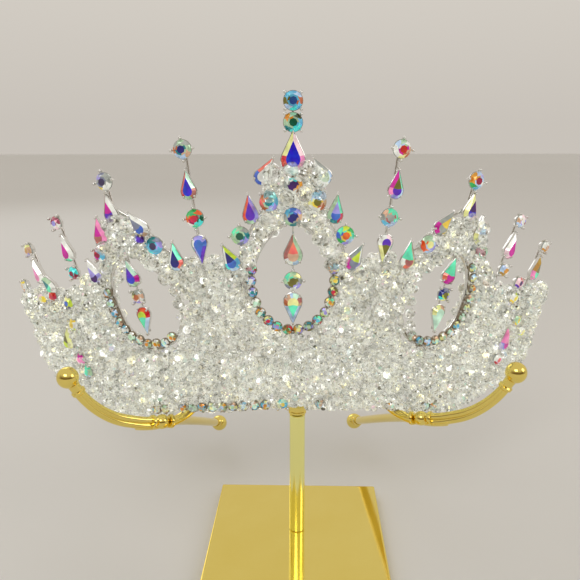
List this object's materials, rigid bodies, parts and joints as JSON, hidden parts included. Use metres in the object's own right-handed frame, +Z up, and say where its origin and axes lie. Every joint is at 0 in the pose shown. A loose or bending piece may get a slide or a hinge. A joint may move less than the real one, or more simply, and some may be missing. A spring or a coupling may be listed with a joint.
{
  "type": "bridal crown on display stand",
  "caption": "Flared bridal crown open at the back, with beaded walls, arched openings, stone spikes and hanging pear drops, on a gold display stand with a square plate.",
  "frame": {"origin": "middle of the stand plate's underside, on the post's axis", "axes": "+Z up along the post, -Y towards the crown's front, +X to the viewer's right"},
  "size_m": [0.2058, 0.1053, 0.1526],
  "materials": {
    "gold_plate": "mirror polished gold plating",
    "silver_wire": "bright silver plating",
    "clear_beads": "clear faceted glass beads wired side by side",
    "aurora_stones": "faceted foil-backed stones with an aurora-borealis coating",
    "cup_chain": "small aurora-borealis stones in dark bronze cups"
  },
  "bodies": {
    "root": {"stand_plate": "gold_plate", "stand_post": "gold_plate", "stand_arms": "gold_plate", "crown_frame": "silver_wire", "bead_panel_front": "clear_beads", "bead_panel_side_right": "clear_beads", "bead_panel_side_left": "clear_beads", "bead_panel_end_right": "clear_beads", "bead_panel_end_left": "clear_beads", "cup_chain_centre": "cup_chain", "cup_chain_right": "cup_chain", "cup_chain_left": "cup_chain", "cup_chain_edge": "cup_chain", "top_chaton": "aurora_stones", "second_chaton": "aurora_stones", "top_pear": "aurora_stones", "dome_chaton": "aurora_stones", "keystone_chaton": "aurora_stones", "pendant_upper_pear": "aurora_stones", "pendant_chaton": "aurora_stones", "pendant_lower_pear": "aurora_stones", "shoulder_pear_left": "aurora_stones", "shoulder_pear_right": "aurora_stones", "neck_chaton_left": "aurora_stones", "neck_chaton_right": "aurora_stones", "flame_pear_left": "aurora_stones", "flame_pear_right": "aurora_stones", "flank_chaton_left": "aurora_stones", "flank_chaton_right": "aurora_stones", "flank_pear_left": "aurora_stones", "flank_pear_right": "aurora_stones", "spike_chaton_left": "aurora_stones", "spike_chaton_right": "aurora_stones", "spike_pear_left": "aurora_stones", "spike_pear_right": "aurora_stones", "spike_low_chaton_left": "aurora_stones", "spike_low_chaton_right": "aurora_stones", "spike_low_pear_left": "aurora_stones", "spike_low_pear_right": "aurora_stones", "arch_chaton_left": "aurora_stones", "arch_chaton_right": "aurora_stones", "arch_pear_left": "aurora_stones", "arch_pear_right": "aurora_stones", "arch_inner_pear_left": "aurora_stones", "arch_inner_pear_right": "aurora_stones", "arch_inner_chaton_left": "aurora_stones", "arch_inner_chaton_right": "aurora_stones", "arch_low_pear_left": "aurora_stones", "arch_low_pear_right": "aurora_stones", "arch_outer_pear_left": "aurora_stones", "arch_outer_pear_right": "aurora_stones", "arch_outer_chaton_left": "aurora_stones", "arch_outer_chaton_right": "aurora_stones", "side_pendant_left": "aurora_stones", "side_pendant_right": "aurora_stones", "third_spike_stones_left": "aurora_stones", "third_spike_stones_right": "aurora_stones", "end_spike_stones_left": "aurora_stones", "end_spike_stones_right": "aurora_stones"}
  },
  "joints": []
}
